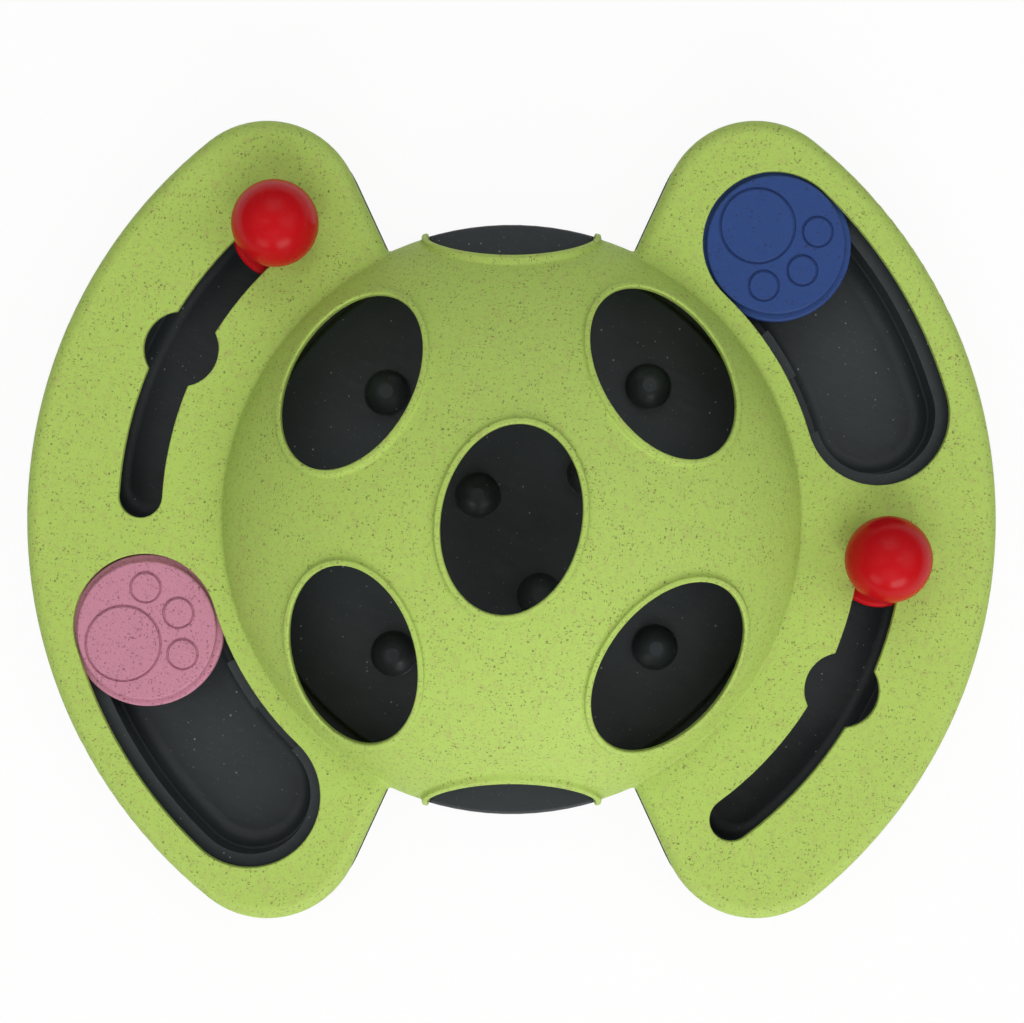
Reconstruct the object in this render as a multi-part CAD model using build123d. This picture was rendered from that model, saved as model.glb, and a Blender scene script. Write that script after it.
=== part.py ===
from build123d import *
import os
from math import asin, cos, degrees, radians, sin, sqrt

# Dog puzzle feeder toy.
# All sizes are in mm. +Z is up, the ground is at z = 0 and the origin is under the dome's axis.
# +X runs along the right wing and -Y is the front. Angles are in degrees, counterclockwise from +X.

# ---- Driving dimensions ---------------------------------------------------------------------

# Dome
DOME_R = 101.6  # at its springing line
DOME_RISE = 56.0  # of the dome's ellipse, from its springing line to its crown
DOME_SPRING_DEPTH = 13.2  # springing line, below the wing top
JUNCTION_R = 1.5  # hollow fillet where the dome leaves the wings
DOME_SKIRT = 1.4  # wing top that stays on the dome's piece, past the dome's foot

# Oval holes in the dome, all cut straight down
HOLE_A = 31.0
HOLE_B = 22.6
CROWN_HOLE_TURN = 79.4
SIDE_HOLE_B = 21.0
HOLE_BRIDGE = 13.5  # skin between the crown hole's collar and a side hole's collar
SIDE_HOLES = (  # place, shift outwards, turn of the long axis, half the length
    (44.1, 0.0, 121.8, 31.4),
    (139.2, 0.0, 61.3, 31.4),
    (220.8, -0.8, 103.4, 30.4),
    (316.6, 1.4, 52.3, 32.0),
)
COLLAR_W = 2.0
COLLAR_H = 1.6
COLLAR_RIM_R = 0.55
COLLAR_FOOT_R = 1.0
MOUTH_R = 0.6

# Doorways at the front and the back
DOOR_HALF_W = 28.7
DOOR_ARCH_H = 18.2
DOOR_ARCH_DEPTH = 2.1  # centre of the arch, below the wing top

# Wings
WING_HALF_ANGLE = 65.2  # each wing spans this far either side of the X axis
TIP_R = 32.0  # round tips of the wings, in plan
WALL = 2.5
PLATE = 3.0
FOOT_PROUD = 2.0
WING_TOP = 28.0
TOP_EDGE_R = 5.0
BASE_FLANGE = 0.4  # plate, beyond the shell's wall
FENCE = 2.0  # low rim on the plate, inside the shell's wall
SLOT_EDGE_R = 0.5

# Sliding discs
DISC_FACE_R = 23.7
DISC_SLOT_GAP = 0.7  # slot, beyond the disc's face
DISC_LIP = 1.6  # flange, beyond the slot
DISC_SINK = 0.4  # face, below the wing top
DISC_INNER_MARGIN = 2.4  # flange to the dome's foot
DISC_OUTER_MARGIN = 9.9  # flange to the wing's outer edge
DISC_END_MARGIN = 13.3  # disc's pan to the wing's straight side
BLUE_SHORT_OF_STOP = 0.35  # angle between the blue disc and its far stop
PINK_SHORT_OF_STOP = 0.8  # angle between the pink disc and its near stop
PAW_PAD_R = 12.4
PAW_PAD_OFFSET = 9.0
PAW_TOE_R = 4.75
PAW_TOES = ((14.7, 118.0), (12.5, 180.0), (14.7, -118.0))  # offset and angle from the disc's centre
PAW_H = 0.5
PAW_GROOVE_W = 0.8
PAW_GROOVE_DEPTH = 0.6
BLUE_PAW_TURN = 135.0
PINK_PAW_TURN = 209.0

# Ball sliders
BALL_R = 14.6
BALL_SLOT_HALF_W = 7.4
BALL_SLOT_OVERRUN = 5.3  # slot's ends, past the ball's stops
BALL_INNER_MARGIN = 8.4  # foot to the dome's foot
BALL_END_MARGIN = 11.0  # ball's pan to the wing's straight side
POCKET_SHIFT = 1.4  # angle of the round treat opening from the middle of the ball's travel
POCKET_R = 12.8
POCKET_CORNER_R = 0.8
FOOT_PLATE_R = 16.7
SLIDER_T = 2.8
HUB_R = 6.5
HUB_H = 4.0
SPIGOT_R = 4.0
SPIGOT_L = 4.8

# Treat pans
PAN_WALL = 2.0
PAN_FLOOR = 1.2
PAN_SPACE = 1.7  # between the two pans of a wing
PAN_DIVIDE = 6.7  # middle of that space, from the wing's middle line
LEDGE_W = 6.0  # the disc's flange rides on this
BALL_LEDGE_W = 3.6
PAN_FLOOR_R = 5.0
PAN_SHELF = 0.8  # small step where the bowl meets the upright wall
LEDGE_TAB = (26.8, 36.4)  # stretch of the disc pan's inner ledge that is left between two gaps
LEDGE_GAP_WALL = 1.8

# Treat platform under the dome, with round pegs on it
PLATFORM_GAP = 8.6  # to the dome's foot
PLATFORM_H = 4.0
PLATFORM_EDGE_R = 1.2
TONGUE_L = 1.5  # past the dome's foot
PEG_R = 7.7
PEG_H = 9.0
PEG_TOP_R = 2.4
PEG_FOOT_R = 0.6
PEG_LAND = 0.1  # upright edge under the foot's hollow fillet
PEG_SQUARE_R = 64.4  # four pegs on this circle
PEG_SQUARE_TURN = 46.4
PEG_SQUARE_CENTRE = (3.3, -0.2)
INNER_PEGS = ((-11.7, 8.4), (27.3, 16.0), (9.8, -26.6))

# Fasteners and feet
SCREW_SHANK_R = 1.45
SCREW_HEAD_R = 2.8
SCREW_HEAD_H = 2.0
SCREW_L = 12.0
POST_R = 4.0
BOSS_R = 4.6
BOSS_H = 3.0
SHOULDER_DEPTH = 2.5  # of the screw's seat, under a boss's top
RUBBER_R = 9.0
RECESS = 1.0

# Clearances
RUN_GAP = 0.3  # between sliding faces
SIDE_GAP = 0.5  # round a slider's edge, in its channel
SEAT_GAP = 0.5  # between the tray's pieces and the shell's wall
PAN_GAP = 0.3  # round a pan in its recess
BORE_GAP = 0.3  # round a screw's shank and head
PILOT_GAP = 0.05  # round a screw's shank, where it bites
RUBBER_GAP = 0.2  # round a rubber foot in its recess

# ---- Levels and radii that follow -----------------------------------------------------------

PLATE_Z = FOOT_PROUD
SEAT_Z = PLATE_Z + PLATE
CEILING_Z = WING_TOP - WALL
SPRING_Z = WING_TOP - DOME_SPRING_DEPTH
DOOR_ARCH_Z = WING_TOP - DOOR_ARCH_DEPTH
RIM_Z = CEILING_Z - RUN_GAP  # top of the pans' walls and of the sliders' plates
SLIDER_Z = RIM_Z - SLIDER_T
LEDGE_Z = SLIDER_Z - RUN_GAP
PLATFORM_Z = SEAT_Z + PLATFORM_H
BOSS_Z = SEAT_Z + BOSS_H
SHOULDER_Z = BOSS_Z - SHOULDER_DEPTH
HUB_Z = SLIDER_Z - HUB_H
SPIGOT_Z = RIM_Z - SPIGOT_L

DISC_FACE_Z = WING_TOP - DISC_SINK
DISC_SLOT_HALF_W = DISC_FACE_R + DISC_SLOT_GAP
DISC_FLANGE_R = DISC_SLOT_HALF_W + DISC_LIP
DISC_PATH_R = DOME_R + DISC_INNER_MARGIN + DISC_FLANGE_R
OUTER_R = DISC_PATH_R + DISC_FLANGE_R + DISC_OUTER_MARGIN
BALL_PATH_R = DOME_R + BALL_INNER_MARGIN + FOOT_PLATE_R
NECK_R = BALL_SLOT_HALF_W - SIDE_GAP
BALL_Z = WING_TOP + sqrt((BALL_R + RUN_GAP) ** 2 - BALL_SLOT_HALF_W**2)
TIP_CENTRE_R = OUTER_R - TIP_R
TIP_ANGLE = WING_HALF_ANGLE - degrees(asin(TIP_R / TIP_CENTRE_R))
HOLE_CIRCLE_R = HOLE_A + SIDE_HOLE_B + 2 * COLLAR_W + HOLE_BRIDGE
PLATFORM_R = DOME_R - PLATFORM_GAP
TONGUE_R = DOME_R + TONGUE_L


def turn_for(offset, path_r):
    """Angle at which a point on a circle lies this far from a line through the circle's centre."""
    return degrees(asin(offset / path_r))


DISC_PAN_HALF = DISC_FLANGE_R + SIDE_GAP + PAN_WALL
BALL_PAN_HALF = FOOT_PLATE_R + SIDE_GAP + PAN_WALL
DISC_STOPS = (
    turn_for(PAN_DIVIDE + PAN_SPACE / 2 + DISC_PAN_HALF, DISC_PATH_R),
    WING_HALF_ANGLE - turn_for(DISC_PAN_HALF + DISC_END_MARGIN, DISC_PATH_R),
)
BALL_STOPS = (
    turn_for(BALL_PAN_HALF + PAN_SPACE / 2 - PAN_DIVIDE, BALL_PATH_R),
    WING_HALF_ANGLE - turn_for(BALL_PAN_HALF + BALL_END_MARGIN, BALL_PATH_R),
)
BALL_SLOT_TURN = degrees(BALL_SLOT_OVERRUN / BALL_PATH_R)
BALL_SLOT_ENDS = (BALL_STOPS[0] - BALL_SLOT_TURN, BALL_STOPS[1] + BALL_SLOT_TURN)
POCKET_ANGLE = (BALL_STOPS[0] + BALL_STOPS[1]) / 2 - POCKET_SHIFT
BLUE_REST = DISC_STOPS[1] - BLUE_SHORT_OF_STOP
PINK_REST = DISC_STOPS[0] + PINK_SHORT_OF_STOP  # from -X, on the left wing
SCREW_PLACES = (  # on the right wing: radius and angle
    (DOME_R + 13.4, WING_HALF_ANGLE - 3.9),
    (OUTER_R - 11.9, 2.0),
    (OUTER_R - 11.9, -24.0),
    (OUTER_R - 15.9, 7.2 - WING_HALF_ANGLE),
)
RUBBER_PLACES = ((DISC_PATH_R + 6, 0.0), (DISC_PATH_R + 12, 50.0), (DISC_PATH_R + 12, -50.0))


# ---- Helpers --------------------------------------------------------------------------------


def polar(radius, angle):
    """Point in plan at a radius and an angle from the dome's axis."""
    return (radius * cos(radians(angle)), radius * sin(radians(angle)))


def arc_slot(path_r, half_w, start, end):
    """Face with round ends that follows a circle round the dome's axis."""
    edges = [
        CenterArc((0, 0), path_r + half_w, start, end - start),
        CenterArc(polar(path_r, end), half_w, end, 180),
        CenterArc((0, 0), path_r - half_w, end, start - end),
        CenterArc(polar(path_r, start), half_w, start + 180, 180),
    ]
    return make_face(edges)


def disc(radius, low, high, centre=(0, 0)):
    """Upright round bar between two levels."""
    bar = Cylinder(radius, high - low, align=(Align.CENTER, Align.CENTER, Align.MIN))
    return Pos(centre[0], centre[1], low) * bar


def prism(face, low, high):
    """Face in plan, extruded between two levels."""
    return Pos(0, 0, low) * extrude(face, high - low)


def edges_at(solid, level):
    """Flat edges of a solid at one level."""
    return solid.edges().filter_by_position(Axis.Z, level - 0.001, level + 0.001)


def wing_outline(inset):
    """Right wing in plan, with its sides and tips moved in by inset. Its inner end lies under the dome."""
    side = polar(1, WING_HALF_ANGLE)
    outward = polar(1, WING_HALF_ANGLE + 90)
    tip = polar(TIP_CENTRE_R, TIP_ANGLE)
    radius = TIP_R - inset
    upper_in = (side[0] * 60 - outward[0] * inset, side[1] * 60 - outward[1] * inset)
    upper_out = (tip[0] + outward[0] * radius, tip[1] + outward[1] * radius)
    lower_in = (upper_in[0], -upper_in[1])
    lower_out = (upper_out[0], -upper_out[1])
    sweep = WING_HALF_ANGLE + 90 - TIP_ANGLE
    edges = [
        Line(lower_in, lower_out),
        CenterArc((tip[0], -tip[1]), radius, -WING_HALF_ANGLE - 90, sweep),
        CenterArc((0, 0), OUTER_R - inset, -TIP_ANGLE, 2 * TIP_ANGLE),
        CenterArc(tip, radius, TIP_ANGLE, sweep),
        Line(upper_out, upper_in),
        Line(upper_in, lower_in),
    ]
    return make_face(edges)


def both_wings(solid):
    """A solid on the right wing and its twin, half a turn round, on the left one."""
    return [solid, Rot(0, 0, 180) * solid]


def wing_body(inset, low, high, edge_r):
    """One wing with its top edge rounded, except where it runs in under the dome."""
    body = prism(wing_outline(inset), low, high)
    inner_x = polar(60, WING_HALF_ANGLE)[0] + inset + 1
    rim = [e for e in edges_at(body, high) if e.center().X > inner_x]
    return fillet(rim, edge_r)


def dome(grow, low=SEAT_Z):
    """Solid dome with its surface moved out by grow, upright below its springing line."""
    radius = DOME_R + grow
    crown = SPRING_Z + DOME_RISE + grow
    edges = [
        Line((0, low), (radius, low)),
        Line((radius, low), (radius, SPRING_Z)),
        EllipticalCenterArc((0, SPRING_Z), radius, DOME_RISE + grow, 0, arc_size=90),
        Line((0, crown), (0, low)),
    ]
    return revolve(Plane.XZ * make_face(edges), Axis.Z)


def oval_bars(grow):
    """Upright oval bars through the dome, grown all round: the crown's and the four side ones."""
    ovals = [Rot(0, 0, CROWN_HOLE_TURN) * Ellipse(HOLE_A + grow, HOLE_B + grow)]
    for place, shift, turn, half_l in SIDE_HOLES:
        x, y = polar(HOLE_CIRCLE_R + shift, place)
        ovals.append(Pos(x, y, 0) * Rot(0, 0, turn) * Ellipse(half_l + grow, SIDE_HOLE_B + grow))
    return [prism(oval, SPRING_Z, SPRING_Z + DOME_RISE + 10) for oval in ovals]


def doorway(grow, low=SEAT_Z):
    """Arched bar along Y through both doorways, grown all round."""
    half_w = DOOR_HALF_W + grow
    edges = [
        Line((-half_w, low), (half_w, low)),
        Line((half_w, low), (half_w, DOOR_ARCH_Z)),
        EllipticalCenterArc((0, DOOR_ARCH_Z), half_w, DOOR_ARCH_H + grow, 0, arc_size=180),
        Line((-half_w, DOOR_ARCH_Z), (-half_w, low)),
    ]
    return extrude(Plane.XZ * make_face(edges), DOME_R + 20, both=True)


def on_skin(edge, grow):
    """Whether an edge lies on the dome's surface moved out by grow."""
    for share in (0.1, 0.5, 0.9):
        p = edge @ share
        r = sqrt(p.X**2 + p.Y**2) / (DOME_R + grow)
        h = max(p.Z - SPRING_Z, 0) / (DOME_RISE + grow)
        if abs(sqrt(r * r + h * h) - 1) > 1e-3:
            return False
    return True


def rim_edges(solid, bar, grow):
    """Edges of a bar's outline on the dome's surface moved out by grow."""
    near = [e for e in solid.edges() if on_skin(e, grow)]
    return [e for e in near if bar.distance_to(Vertex(e @ 0.5)) < 0.01]


def add_collar(solid, bar):
    """The dome with a flared collar where a bar passes through it: raised lip, hollow foot."""
    patch = bar & dome(COLLAR_H)
    patch = fillet(rim_edges(patch, bar, COLLAR_H), COLLAR_RIM_R)
    solid = solid + patch
    return fillet(rim_edges(solid, bar, 0), COLLAR_FOOT_R)


# ---- Top shell ------------------------------------------------------------------------------


def screw_places():
    """Plan positions of the eight case screws."""
    right = [polar(r, a) for r, a in SCREW_PLACES]
    return right + [(-x, -y) for x, y in right]


def junction_edges(solid):
    """Edges along which the flat wing tops meet the dome."""
    radius = DOME_R * sqrt(1 - (DOME_SPRING_DEPTH / DOME_RISE) ** 2)
    flat = edges_at(solid, WING_TOP)
    return [e for e in flat if abs((e @ 0.5).X ** 2 + (e @ 0.5).Y ** 2 - radius**2) < 1]


def slot_faces():
    """Plan faces of the four sliding slots: blue disc, right ball, pink disc, left ball."""
    disc_slot = arc_slot(DISC_PATH_R, DISC_SLOT_HALF_W, *DISC_STOPS)
    ball_slot = arc_slot(BALL_PATH_R, BALL_SLOT_HALF_W, -BALL_SLOT_ENDS[1], -BALL_SLOT_ENDS[0])
    pocket = Pos(*polar(BALL_PATH_R, -POCKET_ANGLE)) * Circle(POCKET_R)
    ball_slot = (Sketch() + ball_slot + pocket).face()
    centre = Vector(*polar(BALL_PATH_R, -POCKET_ANGLE))
    corners = [v for v in ball_slot.vertices() if abs((Vector(*v) - centre).length - POCKET_R) < 0.01]
    ball_slot = fillet(corners, POCKET_CORNER_R).face()
    return both_wings(disc_slot) + both_wings(ball_slot)


def make_shell():
    outer = dome(0)
    for wing in both_wings(wing_body(0, SEAT_Z, WING_TOP, TOP_EDGE_R)):
        outer += wing
    outer = fillet(junction_edges(outer), JUNCTION_R)

    # Patches raised on the dome, hollowed and cut through below, leave a collar round each opening.
    for bar in oval_bars(COLLAR_W) + [doorway(COLLAR_W)]:
        outer = add_collar(outer, bar)

    # The dome's wall runs down to the plate all round, and each wing is hollow outside it.
    shell = outer - dome(-WALL, SEAT_Z - 1)
    hollow = wing_body(WALL, SEAT_Z - 1, CEILING_Z, TOP_EDGE_R - WALL) - dome(0, SEAT_Z - 2)
    for wing in both_wings(hollow):
        shell -= wing

    # Slots in the wings, with a small round along their top edges.
    for face in slot_faces():
        shell -= prism(face, CEILING_Z - 1, WING_TOP + 1)
        at_top = Pos(0, 0, WING_TOP) * face
        lips = [e for e in edges_at(shell, WING_TOP) if at_top.distance_to(Vertex(e @ 0.5)) < 0.01]
        shell = fillet(lips, SLOT_EDGE_R)

    # Oval holes and doorways.
    for bar in oval_bars(0) + [doorway(0, SEAT_Z - 1)]:
        shell -= bar
        shell = fillet(rim_edges(shell, bar, COLLAR_H), MOUTH_R)

    # Posts for the case screws.
    for place in screw_places():
        shell += disc(POST_R, BOSS_Z, CEILING_Z, place)
        shell -= disc(SCREW_SHANK_R + PILOT_GAP, BOSS_Z - 1, BOSS_Z + SCREW_L, place)
    return shell


def wing_zone():
    """Room round the right wing's shell, from the dome's skirt outwards."""
    zone = prism(wing_outline(-1), SEAT_Z - 1, WING_TOP + 1)
    return zone - disc(DOME_R + DOME_SKIRT, SEAT_Z - 2, WING_TOP + 2)


# ---- Treat pans -----------------------------------------------------------------------------


def ledge_gap(start, end, grow):
    """Gap in the disc pan's inner ledge between two angles, grown all round, as a plan face."""
    turn = degrees(grow / DISC_PATH_R)
    ledge_r = DISC_PATH_R - DISC_FLANGE_R
    back_r = ledge_r + 0.8 - grow
    front_r = ledge_r + LEDGE_W + 2
    edges = [
        CenterArc((0, 0), front_r, start - turn, end - start + 2 * turn),
        Line(polar(front_r, end + turn), polar(back_r, end + turn)),
        CenterArc((0, 0), back_r, end + turn, start - end - 2 * turn),
        Line(polar(back_r, start - turn), polar(front_r, start - turn)),
    ]
    return make_face(edges)


def pan_foot(path_r, slider_r, ledge_w, low, high, grow):
    """Plan of the lower, narrower part of a pan, grown all round."""
    return arc_slot(path_r, slider_r + SIDE_GAP - ledge_w + PAN_WALL + 0.3 + grow, low, high)


def make_pan(path_r, slider_r, ledge_w, low, high, gaps):
    """Long treat pan on the right wing with a bowl, and a ledge above it that carries the slider."""
    channel = slider_r + SIDE_GAP
    inner = channel - ledge_w + 0.1
    bowl_z = SEAT_Z + PAN_FLOOR_R + 1
    foot = pan_foot(path_r, slider_r, ledge_w, low, high, 0)
    pan = prism(foot, SEAT_Z - PAN_FLOOR, LEDGE_Z)
    pan += prism(arc_slot(path_r, channel + PAN_WALL, low, high), LEDGE_Z - 2.2, RIM_Z)
    for start, end in gaps:
        pan += prism(ledge_gap(start, end, LEDGE_GAP_WALL), SEAT_Z, RIM_Z)
    bowl = prism(arc_slot(path_r, inner - PAN_SHELF, low, high), SEAT_Z, bowl_z)
    pan -= fillet(edges_at(bowl, SEAT_Z), PAN_FLOOR_R)
    pan -= prism(arc_slot(path_r, inner, low, high), bowl_z, LEDGE_Z)
    pan -= prism(arc_slot(path_r, channel, low, high), LEDGE_Z, RIM_Z + 1)
    for start, end in gaps:
        pan -= prism(ledge_gap(start, end, 0), bowl_z, LEDGE_Z + 0.5)
    return pan - dome(SEAT_GAP, PLATE_Z)


DISC_PAN = (DISC_PATH_R, DISC_FLANGE_R, LEDGE_W, *DISC_STOPS)
BALL_PAN = (BALL_PATH_R, FOOT_PLATE_R, BALL_LEDGE_W, -BALL_STOPS[1], -BALL_STOPS[0])
LEDGE_GAPS = ((DISC_STOPS[0], LEDGE_TAB[0]), (LEDGE_TAB[1], DISC_STOPS[1]))


# ---- Base tray ------------------------------------------------------------------------------


def peg_places():
    """Plan positions of the pegs: four on a square and three inside it."""
    places = list(INNER_PEGS)
    for turn in range(4):
        x, y = polar(PEG_SQUARE_R, PEG_SQUARE_TURN + 90 * turn)
        places.append((x + PEG_SQUARE_CENTRE[0], y + PEG_SQUARE_CENTRE[1]))
    return places


def make_peg():
    """Round-shouldered peg that treats and the tongue have to get past, with a small flat top."""
    foot_z = PEG_LAND + PEG_FOOT_R
    rise = (PEG_H - foot_z) / sqrt(1 - (PEG_TOP_R / PEG_R) ** 2)
    turn = asin((PEG_H - foot_z) / rise)
    side = [(PEG_R * cos(turn * n / 4), foot_z + rise * sin(turn * n / 4)) for n in range(5)]
    edges = [
        Line((0, 0), (PEG_R + PEG_FOOT_R, 0)),
        Line((PEG_R + PEG_FOOT_R, 0), (PEG_R + PEG_FOOT_R, PEG_LAND)),
        CenterArc((PEG_R + PEG_FOOT_R, foot_z), PEG_FOOT_R, 270, -90),
        Spline(side, tangents=[(0, 1), (-PEG_R * sin(turn), rise * cos(turn))]),
        Line((PEG_TOP_R, PEG_H), (0, PEG_H)),
        Line((0, PEG_H), (0, 0)),
    ]
    return revolve(Plane.XZ * make_face(edges), Axis.Z)


def plate_outline():
    """Plan of the plate: both wings, the dome's foot and the sills of the doorways."""
    sill = Rectangle(2 * (DOOR_HALF_W + COLLAR_W + BASE_FLANGE), 2 * DOME_R + 20)
    sill = sill & Circle(DOME_R + COLLAR_H + BASE_FLANGE)
    plan = Sketch() + Circle(DOME_R + BASE_FLANGE) + sill
    for wing in both_wings(wing_outline(-BASE_FLANGE)):
        plan += wing
    return plan


def make_base():
    base = prism(plate_outline(), PLATE_Z, SEAT_Z)

    # Low rim that centres the wings' walls.
    fence = prism(wing_outline(WALL + SEAT_GAP), SEAT_Z, BOSS_Z - 0.4)
    fence -= prism(wing_outline(WALL + SEAT_GAP + FENCE), SEAT_Z - 1, BOSS_Z)
    fence -= dome(SEAT_GAP, SEAT_Z - 1)
    for wing in both_wings(fence):
        base += wing

    # Recesses that locate the four pans.
    for pan in (DISC_PAN, BALL_PAN):
        recess = prism(pan_foot(*pan, PAN_GAP), SEAT_Z - PAN_FLOOR, BOSS_Z)
        for wing in both_wings(recess):
            base -= wing

    # Treat platform with a tongue through each doorway.
    tongue = Rectangle(2 * (DOOR_HALF_W - SEAT_GAP), 2 * TONGUE_R) & Circle(TONGUE_R)
    tongue = fillet(tongue.vertices(), 2.0)
    for plan in (Circle(PLATFORM_R), tongue):
        slab = prism(plan, SEAT_Z, PLATFORM_Z)
        base += fillet(edges_at(slab, PLATFORM_Z), PLATFORM_EDGE_R)

    # Screw bosses, their counterbores from below, and the rubber feet's recesses.
    for place in screw_places():
        base += disc(BOSS_R, SEAT_Z, BOSS_Z, place)
        base -= disc(SCREW_HEAD_R + BORE_GAP, PLATE_Z - 1, SHOULDER_Z, place)
        base -= disc(SCREW_SHANK_R + BORE_GAP, SHOULDER_Z - 1, BOSS_Z + 1, place)
    for place in rubber_places():
        base -= disc(RUBBER_R + RUBBER_GAP, PLATE_Z - 1, PLATE_Z + RECESS, place)
    return base


# ---- Sliders --------------------------------------------------------------------------------


def make_disc(path_angle, paw_turn):
    """Treat-hiding disc with a flange, a raised face and a grooved paw, hollow underneath."""
    body = disc(DISC_FLANGE_R, SLIDER_Z, RIM_Z)
    body = fillet(edges_at(body, RIM_Z), 0.8)
    face = disc(DISC_FACE_R, RIM_Z - 1, DISC_FACE_Z)
    body += fillet(edges_at(face, DISC_FACE_Z), 0.8)
    body -= disc(DISC_FACE_R - 3, SLIDER_Z - 1, DISC_FACE_Z - 2.2)
    pads = [(PAW_PAD_R, PAW_PAD_OFFSET, 0.0)]
    pads += [(PAW_TOE_R, offset, angle) for offset, angle in PAW_TOES]
    for radius, offset, angle in pads:
        centre = polar(offset, angle + paw_turn)
        body -= disc(radius + PAW_GROOVE_W, DISC_FACE_Z - PAW_GROOVE_DEPTH, DISC_FACE_Z + 1, centre)
        pad = disc(radius, DISC_FACE_Z - PAW_GROOVE_DEPTH, DISC_FACE_Z + PAW_H, centre)
        body += fillet(edges_at(pad, DISC_FACE_Z + PAW_H), PAW_H * 0.8)
    x, y = polar(DISC_PATH_R, path_angle)
    return Pos(x, y, 0) * body


def make_knob():
    """Ball with its neck and the spigot that enters the slider foot."""
    knob = Pos(0, 0, BALL_Z) * Sphere(BALL_R)
    knob += disc(NECK_R, RIM_Z, BALL_Z - BALL_R + 2.5)
    knob += disc(SPIGOT_R, SPIGOT_Z, RIM_Z + 1)
    knob -= disc(SCREW_SHANK_R + PILOT_GAP, SPIGOT_Z - 1, HUB_Z + SCREW_L)
    return knob


def make_slider_foot():
    """Round plate that covers the pan and its treat opening, with a hub for the knob."""
    foot = disc(FOOT_PLATE_R, SLIDER_Z, RIM_Z)
    foot = fillet(edges_at(foot, RIM_Z), 1.5)
    foot += disc(HUB_R, HUB_Z, SLIDER_Z + 1)
    foot -= disc(SPIGOT_R + 0.1, SPIGOT_Z, RIM_Z + 1)
    foot -= disc(SCREW_SHANK_R + BORE_GAP, HUB_Z - 1, SPIGOT_Z + 1)
    return foot


def make_screw(shoulder_z):
    """Pan-head screw driven upwards, its head under the shoulder, with a cross recess."""
    head = disc(SCREW_HEAD_R, shoulder_z - SCREW_HEAD_H, shoulder_z)
    low = shoulder_z - SCREW_HEAD_H
    head = fillet(edges_at(head, low), 0.9)
    shank = disc(SCREW_SHANK_R, shoulder_z - 0.5, shoulder_z + SCREW_L - 1.5)
    tip = edges_at(shank, shoulder_z + SCREW_L - 1.5)
    screw = head + chamfer(tip, 0.7)
    for turn in (0, 90):
        screw -= Pos(0, 0, low) * Rot(0, 0, turn) * Box(3.0, 0.7, 2.0)
    return screw


def rubber_places():
    """Plan positions of the six rubber feet."""
    right = [polar(r, a) for r, a in RUBBER_PLACES]
    return right + [(-x, -y) for x, y in right]


def make_rubber_foot(place):
    """Domed rubber pad in its recess under the plate."""
    pad = disc(RUBBER_R, 0, PLATE_Z + RECESS, place)
    return fillet(edges_at(pad, 0), 1.0)


# ---- Parts ----------------------------------------------------------------------------------

shell = make_shell()
zones = both_wings(wing_zone())
parts = {"dome_shell": shell - zones[0] - zones[1], "base_tray": make_base()}
parts["wing_shell_right"], parts["wing_shell_left"] = [shell & zone for zone in zones]
peg = make_peg()
parts["treat_pegs"] = Compound([Pos(x, y, PLATFORM_Z) * peg for x, y in peg_places()])
for kind, pan in {"disc": make_pan(*DISC_PAN, LEDGE_GAPS), "ball": make_pan(*BALL_PAN, ())}.items():
    parts[f"{kind}_pan_right"], parts[f"{kind}_pan_left"] = both_wings(pan)
parts["disc_blue"] = make_disc(BLUE_REST, BLUE_PAW_TURN)
parts["disc_pink"] = make_disc(180 + PINK_REST, PINK_PAW_TURN)

slider_rest = {"left": 180 - BALL_STOPS[1], "right": -BALL_STOPS[0]}
for side, angle in slider_rest.items():
    x, y = polar(BALL_PATH_R, angle)
    parts[f"knob_{side}"] = Pos(x, y, 0) * make_knob()
    parts[f"slider_foot_{side}"] = Pos(x, y, 0) * make_slider_foot()
    parts[f"knob_screw_{side}"] = Pos(x, y, 0) * make_screw(HUB_Z)

for number, place in enumerate(rubber_places(), 1):
    parts[f"rubber_foot_{number}"] = make_rubber_foot(place)

case_screw = make_screw(SHOULDER_Z)
parts["case_screws"] = Compound([Pos(x, y, 0) * case_screw for x, y in screw_places()])

os.makedirs("parts", exist_ok=True)
for name, shape in parts.items():
    export_step(shape, f"parts/{name}.step")
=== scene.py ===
# %% [markdown]
# # Dressing a dog puzzle feeder
#
# The toy is a green moulded dome between two flat wings, screwed over a black tray. Two red
# balls and two paw discs slide in curved slots and hide treats in the pans below them. The
# solids come from the CAD model, which holds every shape that shows. This script gives each
# piece its plastic, rubber or steel, and lights the toy as a plain product shot.

import math

import bpy
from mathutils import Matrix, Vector

MM = 0.001
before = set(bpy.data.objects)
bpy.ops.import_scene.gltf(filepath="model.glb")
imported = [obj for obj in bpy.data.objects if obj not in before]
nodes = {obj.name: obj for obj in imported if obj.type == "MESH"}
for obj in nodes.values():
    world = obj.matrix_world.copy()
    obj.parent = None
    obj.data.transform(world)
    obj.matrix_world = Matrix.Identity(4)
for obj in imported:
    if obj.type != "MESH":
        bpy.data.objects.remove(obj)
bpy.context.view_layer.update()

# %% [markdown]
# ## Colours and nodes
#
# Colours are written the way a designer reads them off a chart, as sRGB hex. Shaders want
# linear light, so one function converts them. A second function adds a shader node, fills in
# its settings and wires its inputs, which keeps every material below short.

# %% Colour and node helpers
def colour(code):
    """Linear RGBA from an sRGB hex code."""
    parts = [int(code[i : i + 2], 16) / 255 for i in (1, 3, 5)]
    linear = [c / 12.92 if c <= 0.04045 else ((c + 0.055) / 1.055) ** 2.4 for c in parts]
    return (*linear, 1.0)


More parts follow.
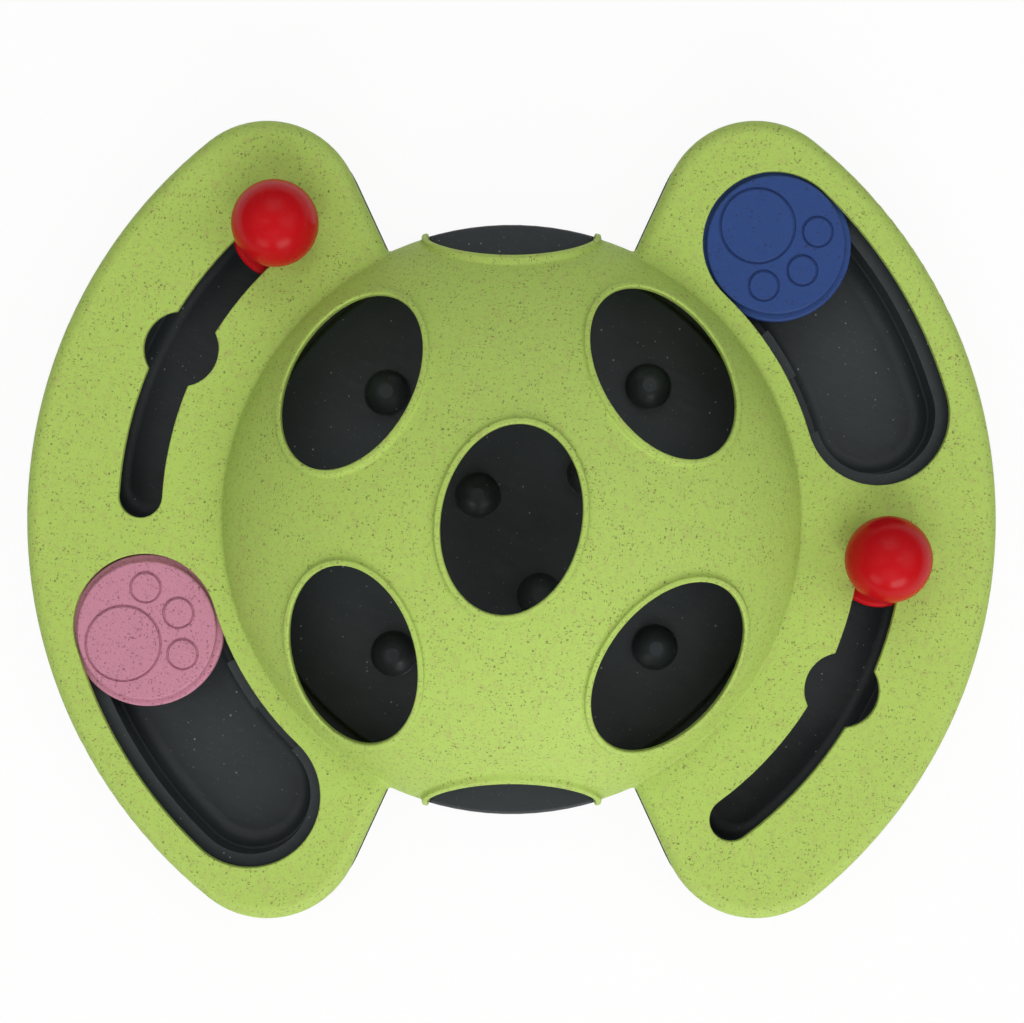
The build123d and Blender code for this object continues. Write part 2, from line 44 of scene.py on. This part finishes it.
def add(tree, kind, settings=None, **inputs):
    """New node. An input gets a plain value, a socket, or another node's first output.

    A name has _ for each space, and _0, _1 and so on stand for inputs whose names repeat.
    """
    node = tree.nodes.new("ShaderNode" + kind)
    for key, value in (settings or {}).items():
        setattr(node, key, value)
    for key, value in inputs.items():
        place = int(key[1:]) if key[1:].isdigit() else key.replace("_", " ")
        socket = node.inputs[place]
        if isinstance(value, bpy.types.Node):
            value = value.outputs[0]
        if isinstance(value, bpy.types.NodeSocket):
            tree.links.new(value, socket)
        else:
            socket.default_value = value
    return node


def new_material(name):
    """Empty node material, its tree and the place of every point on the toy, in metres."""
    material = bpy.data.materials.new(name)
    material.use_nodes = True
    tree = material.node_tree
    tree.nodes.clear()
    return material, tree, add(tree, "TexCoord").outputs["Object"]


print("green on the chart:", [round(c, 3) for c in colour("#A8C35E")])

# %% [markdown]
# Every pattern below is laid out in real millimetres. Object coordinates are metres on the toy
# itself, and Mapping nodes turn them into "one unit every so many millimetres", so a noise or
# a cell pattern gets a real size instead of a scale found by trying. Paint is built up in
# layers: a tone is laid over the paint below it where a mask says so.

# %% Pattern helpers
def every(tree, place, size_mm, stretch=(1, 1, 1), turn=0):
    """The place with one unit every size_mm, drawn out along axes that are turned in plan."""
    scale = [s / (size_mm * MM) for s in stretch]
    turned = add(tree, "Mapping", Vector=place, Rotation=(0, 0, math.radians(turn)))
    return add(tree, "Mapping", Vector=turned, Scale=scale)


def lay_over(tree, paint, tone, mask, strength):
    """Paint with a tone laid over it where the mask is 1, up to a strength."""
    cover = add(tree, "Math", {"operation": "MULTIPLY"}, _0=mask, _1=strength)
    mix = add(tree, "Mix", {"data_type": "RGBA"}, Factor=cover, _6=paint, _7=colour(tone))
    return mix.outputs[2]


# %% [markdown]
# ## Speckled moulded plastic
#
# The dome, the wings and the discs are polypropylene filled with ground plant fibre and
# injection moulded. The fibre shows as fine dark flecks, round where it is seen end on and
# drawn out where it lies along the surface, over a slightly cloudy base. A painted texture
# would repeat and need unwrapping. Cells of a Voronoi pattern fill the solid itself instead:
# a fleck is what lies close to a cell's centre, the cell's random colour decides whether it
# holds one and how big it is, and the surface shows those that it cuts through.

# %% Fleck pattern
SMALLEST_FLECK = 0.25  # of the largest
FLECK_EDGE = 0.3  # soft edge, of the largest fleck's radius


def flecks(tree, place, spacing_mm, size_mm, share, stretch=(1, 1, 1), turn=0):
    """Mask of flecks: 1 inside a fleck. share is the part of the cells that hold one."""
    laid_out = every(tree, place, spacing_mm, stretch, turn)
    cell = add(tree, "TexVoronoi", {"feature": "F1"}, Vector=laid_out, Scale=1.0, Randomness=1.0)
    pick = add(tree, "SeparateColor", Color=cell.outputs["Color"])
    reach = 0.5 * size_mm / spacing_mm
    radius = add(
        tree, "MapRange", Value=pick, From_Min=1 - share, From_Max=1.0,
        To_Min=SMALLEST_FLECK * reach, To_Max=reach,
    )
    inside = add(tree, "Math", {"operation": "SUBTRACT"}, _0=radius, _1=cell.outputs["Distance"])
    soft = add(tree, "MapRange", Value=inside, From_Max=FLECK_EDGE * reach)
    holds = add(tree, "Math", {"operation": "GREATER_THAN"}, _0=pick, _1=1 - share)
    return add(tree, "Math", {"operation": "MULTIPLY"}, _0=soft, _1=holds)


# Spacing, largest size, share of cells, strength, stretch and turn in plan. Sizes in mm.
FIBRE_SETS = (
    (0.52, 0.44, 0.78, 0.46, (1, 1, 1), 0),
    (1.55, 1.05, 0.42, 0.68, (1, 1, 1), 40),
    (0.75, 0.60, 0.62, 0.56, (0.45, 1, 1), 12),
    (0.80, 0.60, 0.62, 0.56, (0.42, 1, 1), 100),
)
print("fibre sets:", len(FIBRE_SETS))

# %% [markdown]
# The base colour drifts a little over 12 mm or so, where fibre lies deeper or shallower, and
# dusty smudges of finer fibre sit in places. Flecks crowd together every few millimetres and
# thin out between. The mould was spark-eroded, which leaves a dull grain of about 0.35 mm that
# only shows as the way the light breaks up, so it is a bump, and so is the slight waviness
# that a cooling wall gets.

# %% Speckled plastic
# Sizes of the patterns, in mm.
DRIFT_MM, SMUDGE_MM, CROWD_MM, GRAIN_MM, WAVE_MM = 12, 2.4, 7, 0.35, 18
# Depths of the bumps, in metres.
GRAIN_DEPTH = 0.05 * MM
WAVE_DEPTH = 0.15 * MM
POLYPROPYLENE_IOR = 1.49


def speckled_plastic(name, base, drift, fleck, smudge, roughness, fleck_share=1.0):
    """Fibre-filled polypropylene with a fine spark-eroded mould texture."""
    material, tree, place = new_material(name)
    deeper = every(tree, place, DRIFT_MM)
    depth = add(tree, "TexNoise", Vector=deeper, Scale=1.0, Detail=3.0, Roughness=0.6)
    paint = lay_over(tree, colour(base), drift, depth, 0.6)

    patches = every(tree, place, SMUDGE_MM)
    patch = add(tree, "TexNoise", Vector=patches, Scale=1.0, Detail=6.0, Roughness=0.8)
    dusty = add(tree, "MapRange", Value=patch, From_Min=0.50, From_Max=0.68)
    paint = lay_over(tree, paint, smudge, dusty, 0.42)

    crowds = add(tree, "TexNoise", Vector=every(tree, place, CROWD_MM), Scale=1.0, Detail=3.0)
    crowd = add(tree, "MapRange", Value=crowds, From_Min=0.38, From_Max=0.60, To_Min=0.6)
    for spacing, size, share, strength, stretch, turn in FIBRE_SETS:
        mask = flecks(tree, place, spacing, size, share * fleck_share, stretch, turn)
        crowded = add(tree, "Math", {"operation": "MULTIPLY"}, _0=mask, _1=crowd)
        paint = lay_over(tree, paint, fleck, crowded, strength)

    grain = add(tree, "TexNoise", Vector=every(tree, place, GRAIN_MM), Scale=1.0, Detail=2.0)
    fine = add(tree, "Bump", Height=grain, Strength=0.22, Distance=GRAIN_DEPTH)
    wave = add(tree, "TexNoise", Vector=every(tree, place, WAVE_MM), Scale=1.0, Detail=1.0)
    wavy = add(tree, "Bump", Height=wave, Strength=0.3, Distance=WAVE_DEPTH, Normal=fine)
    dull = add(
        tree, "MapRange", Value=patch, From_Min=0.3, From_Max=0.7,
        To_Min=roughness - 0.05, To_Max=roughness + 0.07,
    )
    shader = add(
        tree, "BsdfPrincipled", Base_Color=paint, IOR=POLYPROPYLENE_IOR, Roughness=dull,
        Normal=wavy, Specular_IOR_Level=0.4,
    )
    add(tree, "OutputMaterial", Surface=shader)
    return material


green_plastic = speckled_plastic(
    "polypropylene_fibre_green", "#A8C35E", "#A0B958", "#5A5030", "#A08A62", 0.6
)
blue_plastic = speckled_plastic(
    "polypropylene_fibre_blue", "#284278", "#253C70", "#2A2232", "#324A80", 0.55, 0.6
)
pink_plastic = speckled_plastic(
    "polypropylene_fibre_pink", "#BE8295", "#B5788A", "#643A42", "#A87482", 0.55, 1.2
)
print("speckled plastics:", green_plastic.name, blue_plastic.name, pink_plastic.name)

# %% [markdown]
# ## Black tray plastic
#
# The tray, its pans and its pegs are black-pigmented polypropylene with the same dull mould
# grain. Under soft light they read as charcoal. A few pale specks of dust and fibre, and fine
# rubbing marks from sliding treats, keep them from looking painted.

# %% Tray plastic
# Spacing, largest size, share of cells, strength and tone of the specks. Sizes in mm.
SPECKS = (
    (0.9, 0.42, 0.30, 0.35, "#7A8288"),
    (2.1, 0.85, 0.22, 0.60, "#9AA2A6"),
    (2.6, 0.80, 0.20, 0.50, "#7E6C50"),
)
HAZE_MM, RUB_MM, TRAY_GRAIN_MM = 15, 1.2, 0.3


def tray_plastic():
    """Charcoal polypropylene with pale dust specks and fine rubbing marks."""
    material, tree, place = new_material("polypropylene_black_moulded")
    clouds = every(tree, place, HAZE_MM)
    haze = add(tree, "TexNoise", Vector=clouds, Scale=1.0, Detail=4.0, Roughness=0.65)
    paint = lay_over(tree, colour("#272B2D"), "#2F3436", haze, 0.8)
    for spacing, size, share, strength, tone in SPECKS:
        mask = flecks(tree, place, spacing, size, share)
        paint = lay_over(tree, paint, tone, mask, strength)

    rubbed = every(tree, place, RUB_MM, (0.12, 1, 1), 25)
    streak = add(tree, "TexNoise", Vector=rubbed, Scale=1.0, Detail=3.0, Roughness=0.7)
    dull = add(
        tree, "MapRange", Value=streak, From_Min=0.3, From_Max=0.7, To_Min=0.4, To_Max=0.56
    )
    grain = add(tree, "TexNoise", Vector=every(tree, place, TRAY_GRAIN_MM), Scale=1.0, Detail=2.0)
    bump = add(tree, "Bump", Height=grain, Strength=0.3, Distance=GRAIN_DEPTH)
    shader = add(
        tree, "BsdfPrincipled", Base_Color=paint, IOR=POLYPROPYLENE_IOR, Roughness=dull,
        Normal=bump,
    )
    add(tree, "OutputMaterial", Surface=shader)
    return material


black_plastic = tray_plastic()
print("tray plastic:", black_plastic.name)

# %% [markdown]
# ## Red knob plastic
#
# The balls and the round plates under them are glossy ABS from a polished mould. The gloss is
# a low roughness with a faint orange-peel unevenness, so that highlights have soft edges.

# %% Red ABS
FLOW_MM, PEEL_MM = 9, 1.5
PEEL_DEPTH = 0.02 * MM
SHEEN_IOR = 1.45  # ABS has 1.54, and a little less keeps the rims of the balls deep red


def gloss_abs(name, base, deep):
    """Polished ABS with a slight unevenness."""
    material, tree, place = new_material(name)
    flowing = every(tree, place, FLOW_MM)
    flow = add(tree, "TexNoise", Vector=flowing, Scale=1.0, Detail=2.0, Roughness=0.6)
    paint = lay_over(tree, colour(base), deep, flow, 0.35)
    peel = add(tree, "TexNoise", Vector=every(tree, place, PEEL_MM), Scale=1.0, Detail=1.0)
    bump = add(tree, "Bump", Height=peel, Strength=0.15, Distance=PEEL_DEPTH)
    gloss = add(
        tree, "MapRange", Value=flow, From_Min=0.3, From_Max=0.7, To_Min=0.2, To_Max=0.3
    )
    shader = add(
        tree, "BsdfPrincipled", Base_Color=paint, IOR=SHEEN_IOR, Roughness=gloss,
        Normal=bump, Specular_IOR_Level=0.14,
    )
    add(tree, "OutputMaterial", Surface=shader)
    return material


red_abs = gloss_abs("abs_glossy_red", "#B61218", "#A20E15")
print("knob plastic:", red_abs.name)

# %% [markdown]
# ## Rubber feet and screws
#
# Underneath, six soft rubber pads stop the tray from sliding about. Rubber is dull and gets a
# powdery bloom, so its colour is blotched and its roughness high. The screws are zinc-plated
# steel, a metal whose plating carries faint turning marks.

# %% Rubber and screw steel
BLOOM_MM, TURNING_MM = 2.5, 0.6
BLOOM_DEPTH = 0.06 * MM


def dull_rubber():
    """Soft black rubber with a powdery bloom."""
    material, tree, place = new_material("thermoplastic_rubber_black")
    blotches = every(tree, place, BLOOM_MM)
    bloom = add(tree, "TexNoise", Vector=blotches, Scale=1.0, Detail=5.0, Roughness=0.7)
    paint = lay_over(tree, colour("#1E1F20"), "#33342F", bloom, 0.7)
    bump = add(tree, "Bump", Height=bloom, Strength=0.3, Distance=BLOOM_DEPTH)
    shader = add(tree, "BsdfPrincipled", Base_Color=paint, Roughness=0.85, IOR=1.5, Normal=bump)
    add(tree, "OutputMaterial", Surface=shader)
    return material


def zinc_steel():
    """Zinc-plated screw steel with faint turning marks."""
    material, tree, place = new_material("steel_zinc_plated")
    marks = add(tree, "TexNoise", Vector=every(tree, place, TURNING_MM), Scale=1.0, Detail=4.0)
    paint = lay_over(tree, colour("#B4B7BA"), "#8F949A", marks, 0.6)
    worn = add(
        tree, "MapRange", Value=marks, From_Min=0.3, From_Max=0.7, To_Min=0.25, To_Max=0.42
    )
    shader = add(tree, "BsdfPrincipled", Base_Color=paint, Metallic=1.0, Roughness=worn)
    add(tree, "OutputMaterial", Surface=shader)
    return material


rubber = dull_rubber()
steel = zinc_steel()
print("underside finishes:", rubber.name, steel.name)

# %% [markdown]
# ## Give each CAD piece its finish
#
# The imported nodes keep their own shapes, and each one only swaps its material. A name is
# matched by how it starts, and the longest match wins, so a knob's screw isn't made red.

# %% Assign finishes
FINISHES = {
    "dome_shell": green_plastic,
    "wing_shell_": green_plastic,
    "base_tray": black_plastic,
    "treat_pegs": black_plastic,
    "disc_pan_": black_plastic,
    "ball_pan_": black_plastic,
    "disc_blue": blue_plastic,
    "disc_pink": pink_plastic,
    "knob_": red_abs,
    "slider_foot_": red_abs,
    "rubber_foot_": rubber,
    "knob_screw_": steel,
    "case_screws": steel,
}
for name, piece in nodes.items():
    starts = [key for key in FINISHES if name.startswith(key)]
    finish = FINISHES[max(starts, key=len)]
    for slot in piece.material_slots:
        slot.material = finish
    print(name, "->", finish.name)

# %% [markdown]
# ## Floor, light and camera
#
# A product shot from straight above, on white. The floor is white to the camera and to
# reflections, and a plain pale paper to the light, so the toy still gets its soft contact
# shadow. Large soft lamps stand in a ring half way up, which shapes the dome and leaves its
# inside dark. They carry polarising film against one on the lens, so they leave no glare.
# Two thin, weak strips overhead and two low lamps in front put the highlights on the balls.

# %% Floor
FLOOR_SIZE = 40  # metres, so that its edge lies at the horizon in a low view
PULP_MM = 4
FLOOR_WHITE = 0.93  # share of the floor that is plain white where it is seen


def seen_directly(tree):
    """1 for rays from the camera, a gloss or a glass, and 0 for rays that gather light."""
    rays = add(tree, "LightPath").outputs
    largest = {"operation": "MAXIMUM"}
    direct = add(tree, "Math", largest, _0=rays["Is Camera Ray"], _1=rays["Is Glossy Ray"])
    return add(tree, "Math", largest, _0=direct, _1=rays["Is Transmission Ray"])


def studio_floor():
    """White floor that keeps a soft shadow."""
    material, tree, place = new_material("paper_white_backdrop")
    pulp = add(tree, "TexNoise", Vector=every(tree, place, PULP_MM), Scale=1.0, Detail=3.0)
    paint = lay_over(tree, colour("#E9E9E7"), "#E6E6E5", pulp, 0.5)
    matte = add(tree, "BsdfPrincipled", Base_Color=paint, Roughness=0.9)
    white = add(tree, "Emission", Color=(1, 1, 1, 1), Strength=1.0)
    seen = seen_directly(tree)
    share = add(tree, "Math", {"operation": "MULTIPLY"}, _0=seen, _1=FLOOR_WHITE)
    mix = add(tree, "MixShader", _0=share, _1=matte, _2=white)
    add(tree, "OutputMaterial", Surface=mix)
    return material


bpy.ops.mesh.primitive_plane_add(size=FLOOR_SIZE)
floor = bpy.context.object
floor.name = "studio_floor"
floor.data.materials.append(studio_floor())
print("floor:", floor.name)

# %% [markdown]
# The room around gives no light of its own. Its ceiling is there to be reflected, as the soft
# pale sheen that level plastic has and steep plastic has not, because the walls are dim.

# %% Room
CEILING_LEVEL = 0.5
WALL_SHARE = 0.15  # of the ceiling's level
WALL_TOP, CEILING_START = 0.2, 0.7  # heights on a sphere of radius 1 round the toy
world = bpy.data.worlds.new("studio_room")
world.use_nodes = True
room = world.node_tree
room.nodes.clear()
dark = add(room, "Background", Color=(1, 1, 1, 1), Strength=0.0)
ceiling = add(room, "Background", Color=(1, 1, 1, 1), Strength=CEILING_LEVEL)
direction = add(room, "TexCoord").outputs["Generated"]
height = add(room, "SeparateXYZ", _0=direction).outputs["Z"]
above = add(
    room, "MapRange", Value=height, From_Min=WALL_TOP, From_Max=CEILING_START, To_Min=WALL_SHARE
)
share = add(room, "Math", {"operation": "MULTIPLY"}, _0=above, _1=seen_directly(room))
blend = add(room, "MixShader", _0=share, _1=dark, _2=ceiling)
add(room, "OutputWorld", Surface=blend)
bpy.context.scene.world = world
print("ceiling seen in reflections:", CEILING_LEVEL)

# %% [markdown]
# A lamp is placed by the direction that its light comes from, and turned to face the middle of
# the toy. The ring of four is stronger in front than at the sides, so the dome gets a light
# and a dark flank. Without glare a lamp still lights the plastic but isn't mirrored in it.

# %% Lamps
LAMP_DISTANCE = 1.5
AIM = Vector((0, 0, 0.03))
RING_LAMP = (1.0, 0.8)
STRIP_LAMP = (0.08, 0.4)


def softbox(name, azimuth, elevation, size, power, glare):
    """Rectangular lamp in a direction given in degrees, aimed at the toy."""
    data = bpy.data.lights.new(name, "AREA")
    data.shape = "RECTANGLE"
    data.size, data.size_y = size
    data.energy = power
    lamp = bpy.data.objects.new(name, data)
    lamp.visible_glossy = glare
    turn, rise = math.radians(azimuth), math.radians(elevation)
    reach = math.cos(rise)
    away = Vector((math.cos(turn) * reach, math.sin(turn) * reach, math.sin(rise)))
    lamp.location = AIM + away * LAMP_DISTANCE
    lamp.rotation_euler = (-away).to_track_quat("-Z", "Y").to_euler()
    bpy.context.scene.collection.objects.link(lamp)


# Azimuth and elevation in degrees, size in metres, power in watts, and whether it glares.
LAMPS = (
    ("left_side", 180, 48, RING_LAMP, 4.5, False),
    ("right_side", 0, 48, RING_LAMP, 6.3, False),
    ("back", 90, 48, RING_LAMP, 7.6, False),
    ("front", -90, 48, RING_LAMP, 10.4, False),
    ("front_left", -121, 22, (0.7, 0.5), 3.0, True),
    ("front_right", -67, 22, (0.8, 0.5), 7.6, True),
    ("overhead_left", 180, 70, STRIP_LAMP, 0.45, True),
    ("overhead_right", 0, 70, STRIP_LAMP, 0.45, True),
)
for lamp in LAMPS:
    softbox(*lamp)
print("lamps:", [lamp[0] for lamp in LAMPS])

# %% [markdown]
# The camera looks straight down from about 0.73 m, near enough for the dome to hide a little
# of what stands round it. The small shifts centre the toy in the frame without tilting the
# view.

# %% Camera
CAMERA_HEIGHT = 0.728
LENS = 72.3  # mm, on Blender's 36 mm sensor
SHIFT_X, SHIFT_Y = 0.0005, 0.0078
camera_data = bpy.data.cameras.new("camera")
camera_data.lens = LENS
camera_data.shift_x = SHIFT_X
camera_data.shift_y = SHIFT_Y
camera = bpy.data.objects.new("camera", camera_data)
camera.location = (0, 0, CAMERA_HEIGHT)
bpy.context.scene.collection.objects.link(camera)
bpy.context.scene.camera = camera
bpy.context.scene.view_settings.view_transform = "Standard"
print("camera", camera.location[:], "lens", camera_data.lens)
